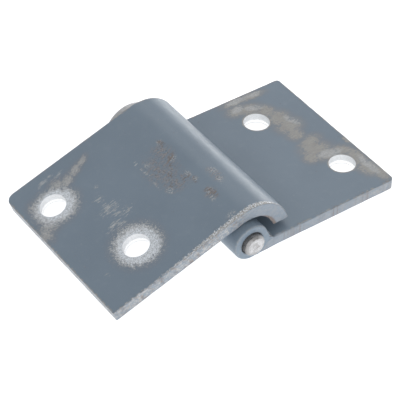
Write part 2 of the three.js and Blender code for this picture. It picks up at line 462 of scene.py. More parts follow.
def flush_front(a, k, r, y):
    # where the leaf and the fillet meet the knuckle, its front edge stays square
    if y > -FRAME_Y + 1.3 or r < KNUCKLE_R - 1.3:
        return r, y
    a = (a + math.pi) % (2 * math.pi) - math.pi
    off = max(CONTACT0 - a, a - CONTACT1)
    w = min(1.0, max(0.03, off / 0.2))
    w = w * w * (3 - 2 * w) if w > 0.05 else w
    return KNUCKLE_R - w * (KNUCKLE_R - r), -FRAME_Y + w * (y + FRAME_Y)


frame_knuckle = lathe("frame_knuckle_tube", knuckle_profile(-FRAME_Y, SPLIT - 0.3), 144, from_frame, flush_front)

WELD_R = 4.2
FZ = FRAME_TOP + WELD_R
FX = math.sqrt((KNUCKLE_R + WELD_R) ** 2 - FZ ** 2)
F_A0 = math.pi + math.atan2(FZ, FX)


def fillet_section(t):
    a = F_A0 + (1.5 * math.pi - F_A0) * t
    v = np.array([math.cos(a), math.sin(a)])
    return np.array([FX, FZ]) + v * (WELD_R + 0.03), -v


fillet_section.core = np.array([8.6, -4.6])


def groove_section(t):
    a, b = np.array([3.3, -9.66]), np.array([9.5, -9.15])
    d = (b - a) / np.linalg.norm(b - a)
    n = np.array([d[1], -d[0]])
    return a + (b - a) * t + n * 0.34 * 4 * t * (1 - t), n


groove_section.core = np.array([6.6, -6.4])


def identity(v):
    return np.asarray(v, float)


frame_fillet = bead("frame_fillet_bead", fillet_section, -FRAME_Y + 0.02, SPLIT - 0.45, from_frame, identity, pitch=2.1, height=0.02, taper=0, seed=2.0)
frame_groove = bead("frame_groove_bead", groove_section, -FRAME_Y + 0.4, SPLIT - 0.6, from_frame, identity, pitch=1.9, height=0.16, taper=1.5, seed=5.0)

# ------------------------------------------------------------------ door side
S_BEND = DOOR_U + BEND_C[0]
S_PAIR = DOOR_U + LIP_INNER[0][0]
ARC = BEND_R * (math.pi / 2 - LIP_END)
S_END = S_BEND + ARC


def catmull(points, count=400):
    pts = [np.array(p, float) for p in points]
    out = []
    n = len(pts) - 1
    for i in range(count + 1):
        f = n * i / count
        k = min(int(f), n - 1)
        w = f - k
        p0 = pts[k if k == 0 else k - 1]
        p1, p2 = pts[k], pts[min(k + 1, n)]
        p3 = pts[min(k + 2, n)]
        v0, v1 = (p2 - p0) / 2, (p3 - p1) / 2
        out.append((2 * p1 - 2 * p2 + v0 + v1) * w ** 3 + (-3 * p1 + 3 * p2 - 2 * v0 - v1) * w ** 2 + v0 * w + p1)
    out = np.array(out)
    out[:, 1] = np.minimum(out[:, 1], DOOR_BOTTOM)
    return out


INNER = catmull(LIP_INNER)
INNER_L = np.concatenate([[0], np.cumsum(np.linalg.norm(np.diff(INNER, axis=0), axis=1))])


def outer_at(s):
    if s <= S_BEND:
        return np.array([s - DOOR_U, DOOR_TOP]), np.array([0.0, 1.0])
    a = math.pi / 2 - (s - S_BEND) / BEND_R
    v = np.array([math.cos(a), math.sin(a)])
    # a hair inside the true radius, so the smooth bend stays within the faceted solid's box
    return BEND_C + (BEND_R - 0.012 * min(1.0, (s - S_BEND) / 3.0)) * v, v


def inner_at(s):
    if s <= S_PAIR:
        return np.array([s - DOOR_U, DOOR_BOTTOM]), np.array([0.0, -1.0])
    w = min(1.0, (s - S_PAIR) / (S_END - S_PAIR))
    at = w * INNER_L[-1]
    p = np.array([np.interp(at, INNER_L, INNER[:, 0]), np.interp(at, INNER_L, INNER[:, 1])])
    e = 0.4
    a = np.array([np.interp(max(0, at - e), INNER_L, INNER[:, 0]), np.interp(max(0, at - e), INNER_L, INNER[:, 1])])
    b = np.array([np.interp(min(INNER_L[-1], at + e), INNER_L, INNER[:, 0]), np.interp(min(INNER_L[-1], at + e), INNER_L, INNER[:, 1])])
    d = (b - a) / np.linalg.norm(b - a)
    return p, np.array([d[1], -d[0]]) * (1 if d[0] * 0 + 1 else 1)


def place_door(s, y, depth):
    o, no = outer_at(s)
    i, ni = inner_at(s)
    thick = np.linalg.norm(o - i)
    f = depth / thick if depth < T / 2 else 1 - (T - depth) / thick
    p = o + (i - o) * f
    across = (o - i) / thick
    along = np.array([across[1], -across[0]])
    if ni @ (i - o) < 0:
        ni = -ni
    up = no if depth < T / 2 else ni
    return from_door([p[0], y, p[1]]), turn_door([along[0], 0, along[1]]), turn_door([up[0], 0, up[1]])


s_grid = [k * 1.5 for k in range(1, 52)] + list(np.arange(79.0, S_END - 0.7, 0.8))
s_lines = [s for s in s_grid if s > 78.0]
door_outer = rounded_loop([(0, DOOR_Y0), (S_END, DOOR_Y0), (S_END, DOOR_Y1), (0, DOOR_Y1)], [0.8, 0.6, 0.6, 5.2], grid_x=s_grid, step=1.1)
door_leaf = plate("door_leaf_plate", door_outer, [hole_loop(x + DOOR_U, y, HOLE_R) for x, y in DOOR_HOLES], place_door, lines=s_lines, rt=0.55, rb=0.45, ragged=0.07, special=door_special)

door_knuckle = lathe("door_knuckle_tube", knuckle_profile(SPLIT + 0.3, DOOR_Y1 - 0.1), 120, from_door)


def flat_section(t):
    a, b = np.array([-9.8, DOOR_BOTTOM + 0.1]), np.array([-6.9, 7.4])
    d = (b - a) / np.linalg.norm(b - a)
    n = np.array([-abs(d[1]), -abs(d[0])])
    return a + (b - a) * t + n * 0.25 * 4 * t * (1 - t), n


flat_section.core = np.array([-4.2, DOOR_BOTTOM + 0.3])


def lip_section(t):
    a, b = np.array([9.7, 8.15]), np.array([8.3, 5.7])
    n = np.array([0.87, -0.5])
    return a + (b - a) * t + n * 0.2 * 4 * t * (1 - t), n


lip_section.core = np.array([6.0, 9.3])

door_flat = bead("door_flat_bead", flat_section, SPLIT + 1.1, DOOR_Y1 - 1.2, from_door, turn_door, seed=9.0)
door_lip = bead("door_lip_bead", lip_section, SPLIT + 1.1, DOOR_Y1 - 1.2, from_door, turn_door, height=0.08, seed=14.0)

# ------------------------------------------------------------------ pin
pin = lathe("hinge_pin_headed", turned_profile(
    [(0, PIN_Y0), (PIN_R - 1.1, PIN_Y0), (PIN_R, PIN_Y0 + 1.15), (PIN_R, HEAD_Y0), (HEAD_R - 0.9, HEAD_Y0), (HEAD_R, HEAD_Y0 + 0.9),
     (HEAD_R, HEAD_Y0 + HEAD_T - 1.0), (HEAD_R - 1.2, HEAD_Y0 + HEAD_T), (0, HEAD_Y0 + HEAD_T)],
    [0, 0.3, 0.35, 0.4, 0.3, 0.35, 0.5, 0.5, 0], False, steps=4), 128, from_frame)

for obj, body, nodes, slot in (
        (frame_leaf, "frame_side", ["frame_leaf"], "leaf_paint"),
        (frame_knuckle, "frame_side", ["frame_knuckle"], "leaf_paint"),
        (frame_fillet, "frame_side", ["frame_fillet_weld"], "leaf_paint"),
        (frame_groove, "frame_side", ["frame_groove_weld"], "leaf_paint"),
        (pin, "frame_side", ["hinge_pin"], "pin_steel"),
        (door_leaf, "door_side", ["door_leaf"], "leaf_paint"),
        (door_knuckle, "door_side", ["door_knuckle"], "leaf_paint"),
        (door_flat, "door_side", ["door_flat_weld"], "leaf_paint"),
        (door_lip, "door_side", ["door_lip_weld"], "leaf_paint")):
    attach(obj, body)
    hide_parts(*nodes)


# ------------------------------------------------------------------ materials
class Graph:
    """a small helper for procedural node materials"""

    def __init__(self, name):
        self.mat = bpy.data.materials.new(name)
        self.mat.use_nodes = True
        self.nt = self.mat.node_tree
        self.nt.nodes.clear()
        self.out = self.nt.nodes.new("ShaderNodeOutputMaterial")
        self.bsdf = self.nt.nodes.new("ShaderNodeBsdfPrincipled")
        self.nt.links.new(self.bsdf.outputs[0], self.out.inputs[0])

    def put(self, sock, value):
        if isinstance(value, bpy.types.NodeSocket):
            self.nt.links.new(value, sock)
        elif isinstance(value, (tuple, list)) and len(value) == 3 and len(sock.default_value) == 4:
            sock.default_value = (*value, 1.0)
        else:
            sock.default_value = value

    def math(self, op, a, b=None, c=None, clamp=False):
        n = self.nt.nodes.new("ShaderNodeMath")
        n.operation = op
        n.use_clamp = clamp
        for k, v in enumerate((a, b, c)):
            if v is not None:
                self.put(n.inputs[k], v)
        return n.outputs[0]

    def add(self, a, b): return self.math("ADD", a, b)
    def sub(self, a, b): return self.math("SUBTRACT", a, b)
    def mul(self, a, b): return self.math("MULTIPLY", a, b)
    def mn(self, a, b): return self.math("MINIMUM", a, b)
    def mx(self, a, b): return self.math("MAXIMUM", a, b)
    def inv(self, a): return self.math("SUBTRACT", 1.0, a, clamp=True)

    def vec(self, op, a, b=None, scale=None):
        n = self.nt.nodes.new("ShaderNodeVectorMath")
        n.operation = op
        self.put(n.inputs[0], a)
        if b is not None:
            self.put(n.inputs[1], b)
        if scale is not None:
            self.put(n.inputs["Scale"], scale)
        return n.outputs["Value"] if op in ("LENGTH", "DOT_PRODUCT", "DISTANCE") else n.outputs["Vector"]

    def xyz(self, v):
        n = self.nt.nodes.new("ShaderNodeSeparateXYZ")
        self.put(n.inputs[0], v)
        return n.outputs[0], n.outputs[1], n.outputs[2]

    def join(self, x, y, z):
        n = self.nt.nodes.new("ShaderNodeCombineXYZ")
        for k, v in enumerate((x, y, z)):
            self.put(n.inputs[k], v)
        return n.outputs[0]

    def place(self, v, loc=(0, 0, 0), rot=(0, 0, 0), scale=(1, 1, 1), kind="POINT"):
        n = self.nt.nodes.new("ShaderNodeMapping")
        n.vector_type = kind
        self.put(n.inputs[0], v)
        n.inputs["Location"].default_value = loc
        n.inputs["Rotation"].default_value = rot
        n.inputs["Scale"].default_value = scale
        return n.outputs[0]

    def noise(self, v, scale, detail=3.0, rough=0.5, colour=False):
        n = self.nt.nodes.new("ShaderNodeTexNoise")
        n.noise_dimensions = "3D"
        self.put(n.inputs["Vector"], v)
        n.inputs["Scale"].default_value = scale
        n.inputs["Detail"].default_value = detail
        n.inputs["Roughness"].default_value = rough
        return n.outputs["Color"] if colour else n.outputs[0]

    def voronoi(self, v, scale, feature="F1", out="Distance", random=1.0):
        n = self.nt.nodes.new("ShaderNodeTexVoronoi")
        n.feature = feature
        self.put(n.inputs["Vector"], v)
        n.inputs["Scale"].default_value = scale
        n.inputs["Randomness"].default_value = random
        return n.outputs[out]

    def ramp(self, x, lo, hi, a=0.0, b=1.0):
        n = self.nt.nodes.new("ShaderNodeMapRange")
        n.interpolation_type = "SMOOTHSTEP"
        self.put(n.inputs["Value"], x)
        n.inputs["From Min"].default_value = lo
        n.inputs["From Max"].default_value = hi
        n.inputs["To Min"].default_value = a
        n.inputs["To Max"].default_value = b
        return n.outputs[0]

    def mix(self, f, a, b):
        n = self.nt.nodes.new("ShaderNodeMix")
        n.data_type = "RGBA"
        self.put(n.inputs[0], f)
        self.put(n.inputs[6], a)
        self.put(n.inputs[7], b)
        return n.outputs[2]

    def lerp(self, f, a, b):
        n = self.nt.nodes.new("ShaderNodeMix")
        n.data_type = "FLOAT"
        self.put(n.inputs[0], f)
        self.put(n.inputs[2], a)
        self.put(n.inputs[3], b)
        return n.outputs[0]

    def bump(self, height, distance, strength=1.0, normal=None):
        n = self.nt.nodes.new("ShaderNodeBump")
        n.inputs["Strength"].default_value = strength
        n.inputs["Distance"].default_value = distance
        self.put(n.inputs["Height"], height)
        if normal is not None:
            self.put(n.inputs["Normal"], normal)
        return n.outputs[0]

    def blobs(self, v, items):
        """distance to the nearest of several ellipses (cx, cy, a, b, degrees): 1 on their outlines"""
        best = None
        for cx, cy, a, b, deg in items:
            q = self.place(v, loc=(cx, cy, 0), rot=(0, 0, math.radians(deg)), scale=(a, b, 1.0), kind="TEXTURE")
            d = self.vec("LENGTH", q)
            best = d if best is None else self.mn(best, d)
        return best

    def object_mm(self, turned):
        n = self.nt.nodes.new("ShaderNodeTexCoord")
        a = AXIS
        if not turned:
            return self.place(n.outputs["Object"], loc=tuple(-a), scale=(1000, 1000, 1000))
        r = (CT * a[0] + ST * a[2], a[1], -ST * a[0] + CT * a[2])
        return self.place(n.outputs["Object"], loc=(-r[0], -r[1], -r[2]), rot=(0, TILT, 0), scale=(1000, 1000, 1000))


def lin(r, g, b):
    def one(c):
        c = c / 255.0
        return c / 12.92 if c <= 0.04045 else ((c + 0.055) / 1.055) ** 2.4
    return (one(r), one(g), one(b))


PAINT = (0.206, 0.266, 0.332)
PAINT_DARK = (0.192, 0.249, 0.312)
PAINT_LIGHT = (0.250, 0.308, 0.370)
STEEL = (0.420, 0.412, 0.392)
STEEL_BRIGHT = (0.82, 0.87, 0.93)
RUST = (0.235, 0.165, 0.125)
SOOT_AND_SHADE = (0.035, 0.037, 0.040)


def warped(g, v, amount=1.6, scale=0.22):
    n = g.noise(v, scale, 3.0, 0.6, colour=True)
    off = g.vec("SUBTRACT", n, (0.5, 0.5, 0.5))
    return g.vec("ADD", v, g.vec("SCALE", off, scale=amount * 2.0))


def stipple(g, cover, fine, soft=0.0, spread=2.6):
    """turn a smooth cover of 0..1 into broken flecks that thin out towards its edge"""
    fleck = g.ramp(g.add(cover, g.mul(g.sub(fine, 0.5), spread)), 0.44, 0.66)
    return g.mx(fleck, g.mul(cover, soft)) if soft else fleck


def finish_paint(g, v, flat, worn, bright, soot_and_shade, rust, side, tone=None, coarse=None, haze=None, bare_step=None, haze_tone=(0.238, 0.236, 0.242), bore=None, land=None):
    """join the layers: primer, worn-through steel, dark deposits with painted shade, and rust"""
    nt_low = g.noise(flat, 0.028, 2.0, 0.5)
    nt_mid = g.noise(flat, 0.20, 4.0, 0.6)
    nt_fine = g.noise(v, 1.7, 4.0, 0.65)
    grain = g.noise(v, 4.6, 2.0, 0.6)
    brush = g.noise(g.place(flat, scale=(0.14, 2.4, 1.0)), 1.1, 4.0, 0.62)

    # primer: a satin coat, nearly even in tone
    base = g.mix(g.ramp(nt_low, 0.30, 0.70), PAINT_DARK, PAINT)
    base = g.mix(g.mul(g.ramp(nt_mid, 0.50, 0.80), 0.30), base, PAINT_LIGHT)
    base = g.mix(g.mul(g.ramp(grain, 0.58, 0.80), 0.22), base, PAINT_LIGHT)
    base = g.mix(g.mul(g.ramp(grain, 0.42, 0.22), 0.20), base, (0.135, 0.170, 0.205))
    if haze is not None:
        base = g.mix(haze, base, haze_tone)
    if tone is not None:
        base = g.mix(tone[0], base, tone[1])
    # specks: small chips and grit
    cell_pick = g.noise(v, 0.30, 2.0, 0.5)
    chip = g.mul(g.ramp(g.voronoi(v, 0.36), 0.08, 0.17, 1.0, 0.0), g.ramp(cell_pick, 0.60, 0.68))
    grit = g.mul(g.ramp(g.voronoi(v, 1.2), 0.08, 0.22, 1.0, 0.0), g.ramp(g.noise(v, 0.45, 2.0, 0.5), 0.56, 0.66))
    base = g.mix(g.mul(chip, 0.40), base, (0.36, 0.39, 0.41))
    base = g.mix(g.mul(grit, 0.30), base, (0.10, 0.12, 0.135))

    # bare steel: brushed, mottled
    metal = g.mix(g.ramp(brush, 0.34, 0.68), (0.310, 0.300, 0.285), STEEL)
    metal = g.mix(g.mul(g.ramp(nt_fine, 0.50, 0.72), 0.55), metal, (0.52, 0.515, 0.50))
    metal = g.mix(g.mul(g.ramp(grain, 0.50, 0.30), 0.45), metal, (0.21, 0.205, 0.20))
    shiny = g.mix(g.ramp(nt_fine, 0.36, 0.60), (0.475, 0.505, 0.54), STEEL_BRIGHT)
    metal = g.mix(bright, metal, shiny)

    col = g.mix(worn, base, metal)
    if rust is not None:
        rc = g.mix(g.ramp(nt_fine, 0.40, 0.66), RUST, (0.105, 0.082, 0.070))
        col = g.mix(rust, col, rc)
    # dark deposits and painted shade share one near-black layer
    if soot_and_shade is not None:
        col = g.mix(soot_and_shade, col, SOOT_AND_SHADE)
    if bore is not None:
        col = g.mix(g.mul(bore, 0.66), col, (0.84, 0.84, 0.84))
        col = g.mix(land, col, (0.95, 0.95, 0.945))
    g.put(g.bsdf.inputs["Base Color"], col)
    metallic = g.lerp(bright, g.mul(worn, 0.10), g.mul(worn, 0.22))
    if bore is not None:
        metallic = g.lerp(land, metallic, 0.85)
    g.put(g.bsdf.inputs["Metallic"], metallic)
    rough = g.lerp(worn, g.add(g.mul(nt_fine, 0.12), 0.29), g.add(g.mul(brush, 0.30), 0.34))
    if rust is not None:
        rough = g.lerp(rust, rough, 0.85)
    if bore is not None:
        rough = g.lerp(land, rough, 0.26)
    g.put(g.bsdf.inputs["Roughness"], rough)
    g.bsdf.inputs["Specular IOR Level"].default_value = 0.45
    # relief: orange peel, the step down to bare steel and cut-face scoring, kept short of the full masks
    relief = g.add(g.mul(g.noise(v, 0.9, 3.0, 0.55), 0.22), g.mul(g.noise(v, 4.6, 2.0, 0.6), 0.09))
    if bare_step is not None:
        relief = g.sub(relief, g.mul(bare_step, 0.25))
    if coarse is not None:
        relief = g.add(relief, coarse)
    g.put(g.bsdf.inputs["Normal"], g.bump(relief, 0.00010, 1.0))
    return g.mat


def ring_mask(g, flat, centres):
    """distance in millimetres to the nearest of the bolt holes' centres"""
    best = None
    for cx, cy in centres:
        d = g.vec("LENGTH", g.vec("MULTIPLY", g.vec("SUBTRACT", flat, (cx, cy, 0.0)), (1.0, 1.0, 0.0)))
        best = d if best is None else g.mn(best, d)
    return best


def cut_face(g, v, side, to_bare):
    """sheared edge faces: light primer over scale, with bare and brown flecks"""
    a = g.noise(g.place(v, scale=(1.0, 1.0, 1.8)), 0.42, 5.0, 0.65)
    b = g.noise(v, 2.0, 3.0, 0.6)
    bare = g.mul(side, g.mul(g.ramp(g.add(a, g.mul(g.sub(b, 0.5), 1.1)), 0.44, 0.60), to_bare))
    brown = g.mul(g.mul(side, g.ramp(g.add(g.noise(v, 0.30, 4.0, 0.62), g.mul(g.sub(b, 0.5), 0.6)), 0.52, 0.68)), to_bare)
    scoring = g.mul(side, g.mul(g.noise(g.place(v, scale=(0.22, 0.22, 3.0)), 1.0, 3.0, 0.6), 1.1))
    tone = (g.mul(g.ramp(g.add(a, g.mul(g.sub(b, 0.5), 0.5)), 0.35, 0.62, 0.45, 0.95), side), (0.262, 0.300, 0.350))
    return bare, brown, scoring, tone


def frame_leaf_material():
    g = Graph("frame_leaf_primer")
    v = g.object_mm(False)
    x, y, z = g.xyz(v)
    flat = g.join(x, y, 0.0)
    w = warped(g, flat, 1.5, 0.30)
    n1 = g.noise(flat, 0.55, 5.0, 0.62)
    fine = g.noise(g.place(flat, scale=(0.55, 1.7, 1.0), rot=(0, 0, 0.6)), 1.05, 4.0, 0.72)
    depth = g.sub(FRAME_TOP, z)
    top = g.ramp(depth, 0.08, 0.45, 1.0, 0.0)
    under = g.ramp(depth, T - 0.45, T - 0.1)
    side = g.sub(g.sub(1.0, top), under)
    edge = g.mn(g.sub(FRAME_X_OUT, x), g.mn(g.sub(FRAME_Y, y), g.add(FRAME_Y, y)))
    hole = ring_mask(g, flat, FRAME_HOLES)
    # one long rubbed trail runs from the rear edge past both bolt holes to the outer front corner
    trail = g.blobs(w, [
        (60.0, 47.6, 9.5, 3.3, 2), (71.0, 47.0, 9.5, 3.0, -3), (57.0, 41.0, 7.2, 4.8, 10), (63.2, 38.4, 8.8, 5.4, -14),
        (70.0, 32.2, 5.2, 6.4, 25), (72.2, 22.8, 7.2, 7.8, 0), (72.6, 15.4, 8.6, 7.6, 0), (71.0, 7.4, 5.6, 6.0, 0),
        (73.4, -2.4, 8.6, 5.4, 20), (72.6, -8.4, 9.6, 6.8, -10), (66.4, -12.6, 5.4, 5.0, 0), (75.2, -15.2, 9.0, 5.4, -8),
        (83.6, -17.0, 7.0, 5.2, -30), (87.0, -25.6, 4.8, 9.6, 0), (86.2, -35.6, 6.2, 8.0, 8), (89.4, -42.6, 4.4, 7.6, 0), (90.6, -11.5, 1.8, 3.2, 0)])
    cover = g.ramp(g.add(trail, g.mul(g.sub(n1, 0.5), 0.7)), 0.35, 1.26, 1.0, 0.0)
    worn_trail = g.mul(stipple(g, g.mul(cover, 0.80), fine, 0.55), 0.94)
    haze = g.mul(g.ramp(trail, 0.8, 1.55, 1.0, 0.0), 0.42)
    tight = g.blobs(w, [(61.5, 47.8, 7.5, 2.0, 0), (73.0, 47.4, 5.0, 1.8, -4), (58.0, 41.8, 4.6, 2.4, 10), (66.0, 38.0, 5.5, 2.2, -25),
                        (77.5, 17.5, 2.6, 6.0, 25), (77.0, -15.4, 7.5, 3.2, -12), (88.0, -34.0, 2.6, 9.0, 0)])
    bright = g.mul(g.ramp(g.add(tight, g.mul(g.sub(fine, 0.5), 1.2)), 0.6, 1.3, 1.0, 0.0), 0.30)
    arris = g.ramp(g.add(edge, g.mul(g.sub(n1, 0.5), 4.6)), 0.15, 0.95, 1.0, 0.0)
    arris = g.mul(arris, g.ramp(x, 12.0, 30.0, 0.30, 0.85))
    hole_rim = g.mul(g.ramp(g.add(hole, g.mul(g.sub(n1, 0.5), 3.0)), HOLE_R + 0.5, HOLE_R + 1.1, 1.0, 0.0), 0.8)
    washer = g.mul(stipple(g, g.ramp(g.add(hole, g.mul(g.sub(n1, 0.5), 6.0)), 9.0, 13.0, 0.9, 0.0), fine), g.mul(under, 0.7))
    face = g.mx(g.mul(worn_trail, top), g.mul(g.mx(arris, hole_rim), g.mx(top, under)))
    face = g.mx(face, washer)
    bore = g.mul(g.ramp(hole, HOLE_R + 0.02, HOLE_R + 0.22, 1.0, 0.0), side)
    # a punched hole's wall is burnished towards the bottom
    land = g.mul(bore, g.ramp(g.add(depth, g.mul(g.sub(n1, 0.5), 1.4)), 3.5, 4.7))
    bare, brown, scoring, tone = cut_face(g, v, side, g.ramp(x, 24.0, 86.0, 0.14, 0.52))
    worn = g.mx(face, g.mx(bare, bore))
    pick = g.noise(flat, 0.12, 2.0, 0.5)
    rust = g.mul(g.mul(g.ramp(g.voronoi(v, 0.30), 0.04, 0.18, 1.0, 0.0), g.ramp(pick, 0.54, 0.64)), 0.35)
    edge_rust = g.mul(g.ramp(g.add(edge, g.mul(g.sub(n1, 0.5), 6.0)), 0.6, 2.0, 1.0, 0.0), g.ramp(pick, 0.44, 0.60))
    rust = g.mx(rust, g.mul(g.mul(edge_rust, g.ramp(fine, 0.46, 0.60)), 0.45))
    rust = g.mx(rust, g.mul(g.mul(brown, 0.55), g.inv(bore)))
    # painted shade with some grime: the top is darkened in mottled patches close to the knuckle, under the lip
    near_knuckle = g.ramp(x, 11.0, 19.0, 1.0, 0.0)
    soot_and_shade = g.mul(near_knuckle, g.ramp(n1, 0.40, 0.70, 0.0, 0.14))
    return finish_paint(g, v, flat, worn, g.mx(g.mul(bright, top), bore), soot_and_shade, rust, side, tone, scoring, g.mul(haze, top), g.mul(worn_trail, top), bore=bore, land=land)


def door_leaf_material():
    g = Graph("door_leaf_primer")
    v = g.object_mm(True)
    x, y, z = g.xyz(v)
    zc = g.add(z, 4.94)
    dx = g.mx(g.sub(x, float(BEND_C[0])), 0.0)
    radial = g.vec("LENGTH", g.join(dx, zc, 0.0))
    depth = g.sub(BEND_R, radial)
    turn = g.math("ARCTAN2", dx, zc)
    u = g.add(g.mn(x, float(BEND_C[0])), g.mul(turn, BEND_R))
    flat = g.join(u, y, 0.0)
    w = warped(g, flat, 1.4, 0.30)
    n1 = g.noise(flat, 0.55, 5.0, 0.62)
    fine = g.noise(g.place(flat, scale=(0.62, 1.5, 1.0)), 1.5, 3.0, 0.7)
    dots = g.noise(flat, 1.15, 4.0, 0.72)
    top = g.ramp(depth, 0.08, 0.5, 1.0, 0.0)
    tip = float(S_END - DOOR_U)
    ends = g.mn(g.add(u, DOOR_U), g.sub(tip, u))
    sides = g.mn(g.sub(y, DOOR_Y0), g.sub(DOOR_Y1, y))
    edge = g.mn(ends, sides)
    front = g.sub(y, DOOR_Y0)
    rim = g.ramp(edge, 0.25, 0.7, 1.0, 0.0)
    under = g.mul(g.ramp(depth, T - 0.45, T - 0.1), g.inv(rim))
    side = g.mul(g.inv(top), g.inv(under))
    hole = ring_mask(g, flat, DOOR_HOLES)
    bore = g.mul(g.ramp(hole, HOLE_R + 0.02, HOLE_R + 0.22, 1.0, 0.0), side)
    # rings rubbed bright by washers, off centre, with trails of brushed wear
    rings = g.blobs(w, [(-62.0, 31.6, 12.9, 12.4, 0), (-46.0, -20.6, 13.4, 14.0, 0)])
    ring_cover = g.ramp(g.add(rings, g.mul(g.sub(n1, 0.5), 0.45)), 0.62, 1.34, 1.0, 0.0)
    ring_worn = stipple(g, ring_cover, fine, 0.0, 3.0)
    core = g.blobs(w, [(-61.4, 32.2, 11.0, 10.8, 0), (-45.8, -21.8, 12.4, 12.8, 0)])
    core_cover = g.ramp(g.add(core, g.mul(g.sub(n1, 0.5), 0.5)), 0.80, 1.12, 1.0, 0.0)
    trails = g.blobs(w, [
        (-48.6, 40.6, 6.4, 4.2, 30), (-41.6, 43.2, 6.2, 3.2, 30), (-35.6, 45.6, 5.4, 2.4, 25), (-54.4, 42.0, 6.6, 5.4, 0),
        (-75.4, 20.0, 3.8, 7.2, 0), (-71.0, 23.6, 7.4, 6.6, 10), (-70.6, 38.4, 4.8, 6.0, 0)])
    trail_cover = g.ramp(g.add(trails, g.mul(g.sub(n1, 0.5), 0.6)), 0.25, 1.35, 0.70, 0.0)
    faint = g.blobs(w, [(-58.5, 49.6, 9.0, 2.4, 12), (-51.0, 47.6, 6.0, 2.2, 10), (-43.0, 8.6, 8.8, 7.2, 0), (-43.5, 17.6, 4.6, 3.6, 0), (-38.0, 1.8, 6.6, 5.2, 0), (-46.6, -2.6, 8.4, 5.4, 0),
                        (-16.4, 22.4, 2.2, 1.2, 60), (-16.6, 14.0, 1.6, 7.0, 6), (-17.2, 3.0, 1.5, 6.0, -4), (-67.5, -24.6, 2.4, 2.2, 0)])
    faint_cover = g.ramp(g.add(faint, g.mul(g.sub(n1, 0.5), 0.6)), 0.1, 1.25, 0.64, 0.0)
    strokes = g.noise(g.place(flat, scale=(0.20, 1.6, 1.0)), 1.0, 4.0, 0.7)
    stroke_worn = g.mul(g.ramp(g.add(g.mul(faint_cover, 0.9), g.mul(g.sub(strokes, 0.5), 2.6)), 0.42, 0.62), 0.72)
    stroke_worn = g.mul(stroke_worn, g.ramp(faint_cover, 0.02, 0.2))
    worn_face = g.mx(ring_worn, g.mx(stipple(g, trail_cover, fine), stroke_worn))
    # a rough scuffed area in the middle: dark drags, brown specks, a few pale chips
    area = g.blobs(w, [(-9.6, 7.6, 10.5, 16.0, 0), (-3.0, 17.0, 7.0, 9.0, 0), (-8.0, -4.4, 9.0, 7.0, 0), (8.6, -14.0, 3.6, 7.6, 0), (-0.4, -22.5, 4.2, 5.0, 0)])
    area_cover = g.ramp(g.add(area, g.mul(g.sub(n1, 0.5), 0.9)), 0.3, 1.15, 1.0, 0.0)
    slant = g.noise(g.place(flat, scale=(0.55, 1.5, 1.0), rot=(0, 0, 0.9)), 0.62, 5.0, 0.72)
    pits = g.mul(g.mul(area_cover, g.ramp(dots, 0.46, 0.36)), 0.9)
    drag = g.mul(area_cover, g.ramp(slant, 0.44, 0.56))
    pale = g.mul(area_cover, g.ramp(g.add(slant, g.mul(g.sub(dots, 0.5), 0.9)), 0.52, 0.64))
    chips = g.blobs(w, [(0.4, 24.8, 1.3, 1.5, 0), (-0.9, 10.5, 1.7, 1.5, 0), (-12.9, 16.5, 1.1, 2.0, 30), (-1.0, -3.3, 1.0, 1.8, 0), (9.6, -10.6, 1.5, 1.8, 0), (8.4, -18.6, 1.3, 1.6, 0),
                        (0.1, -21.2, 1.5, 1.6, 0), (-1.8, -26.0, 1.0, 1.6, 0), (-1.5, -41.3, 2.0, 1.4, 0), (-14.2, -5.6, 1.6, 1.8, 0), (-39.8, 25.9, 1.0, 1.0, 0), (-0.5, -8.9, 1.2, 1.4, 0)])
    chip_cover = g.mul(g.ramp(chips, 0.6, 2.0, 1.0, 0.0), g.ramp(dots, 0.47, 0.57))
    # the long front arris is worn back, most of all towards the bend
    width = g.ramp(u, -60.0, 2.0, 0.55, 3.0)
    width = g.sub(width, g.ramp(u, 12.0, 30.0, 0.0, 2.4))
    front_cover = g.ramp(g.sub(g.add(front, g.mul(g.sub(n1, 0.5), 4.0)), width), -1.4, 1.0, 1.0, 0.0)
    front_worn = stipple(g, front_cover, dots, 0.0, 2.2)
    arris = g.mul(g.ramp(g.add(edge, g.mul(g.sub(n1, 0.5), 4.4)), 0.15, 0.95, 1.0, 0.0), 0.85)
    hole_rim = g.ramp(g.add(hole, g.mul(g.sub(n1, 0.5), 2.0)), HOLE_R + 0.9, HOLE_R + 1.7, 1.0, 0.0)
    face = g.mul(g.mx(g.mx(worn_face, g.mx(g.mul(chip_cover, 0.75), g.mul(pale, 0.6))), front_worn), top)
    washer = g.mul(stipple(g, g.ramp(g.add(hole, g.mul(g.sub(n1, 0.5), 6.0)), 9.0, 13.0, 0.9, 0.0), dots), g.mul(under, 0.7))
    face = g.mx(g.mx(face, washer), g.mul(g.mx(arris, hole_rim), g.mx(top, under)))
